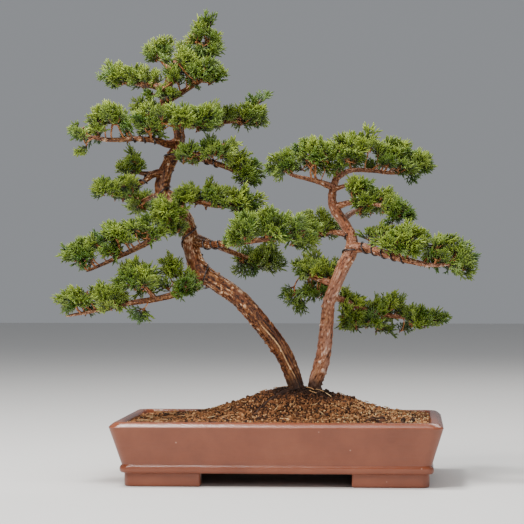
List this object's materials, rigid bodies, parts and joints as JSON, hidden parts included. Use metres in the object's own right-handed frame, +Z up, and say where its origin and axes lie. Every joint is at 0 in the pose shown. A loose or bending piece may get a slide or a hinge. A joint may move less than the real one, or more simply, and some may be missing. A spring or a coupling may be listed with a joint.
{
  "type": "bonsai tree in a pot",
  "caption": "Twin-trunk juniper bonsai in a shallow rectangular clay pot with corner feet, with mounded soil, wired branches and flat foliage pads.",
  "frame": {"origin": "on the surface it stands on, under the middle of the whole object's box", "axes": "+Z up; front towards -Y; +X to the right seen from the front"},
  "size_m": [0.3902, 0.203, 0.441],
  "materials": {
    "clay": "unglazed fired clay, matt with a soft sheen",
    "soil": "loose clay granules, dry and matt",
    "left_bark": "flaky red-brown juniper bark",
    "right_bark": "flaky purple-brown juniper bark",
    "foliage": "fine scale leaves, soft satin",
    "wire": "dark anodised, satin",
    "mesh_plastic": "moulded, matt"
  },
  "bodies": {
    "root": {"high_left_wire": "wire", "left_apex_foliage": "foliage", "left_drain_mesh": "mesh_plastic", "left_high_back_foliage": "foliage", "left_high_back_left_foliage": "foliage", "left_high_front_foliage": "foliage", "left_high_left_foliage": "foliage", "left_high_right_foliage": "foliage", "left_low_back_foliage": "foliage", "left_low_front_foliage": "foliage", "left_low_left_inner_foliage": "foliage", "left_low_left_middle_foliage": "foliage", "left_low_left_outer_foliage": "foliage", "left_mesh_clip": "wire", "left_mid_back_foliage": "foliage", "left_mid_left_foliage": "foliage", "left_mid_right_foliage": "foliage", "left_small_left_foliage": "foliage", "left_small_left_upper_foliage": "foliage", "left_top_front_foliage": "foliage", "left_top_left_foliage": "foliage", "left_top_right_foliage": "foliage", "left_top_tuft_foliage": "foliage", "left_tree_wood": "left_bark", "left_upper_front_foliage": "foliage", "left_upper_right_foliage": "foliage", "long_right_wire": "wire", "low_front_wire": "wire", "low_left_wire": "wire", "mid_left_wire": "wire", "pot": "clay", "right_dome_foliage": "foliage", "right_dome_front_foliage": "foliage", "right_drain_mesh": "mesh_plastic", "right_long_right_foliage": "foliage", "right_low_left_foliage": "foliage", "right_low_right_foliage": "foliage", "right_mesh_clip": "wire", "right_mid_back_foliage": "foliage", "right_small_right_foliage": "foliage", "right_tree_wood": "right_bark", "right_upper_back_foliage": "foliage", "small_left_wire": "wire", "soil": "soil", "upper_right_wire": "wire"}
  },
  "joints": []
}
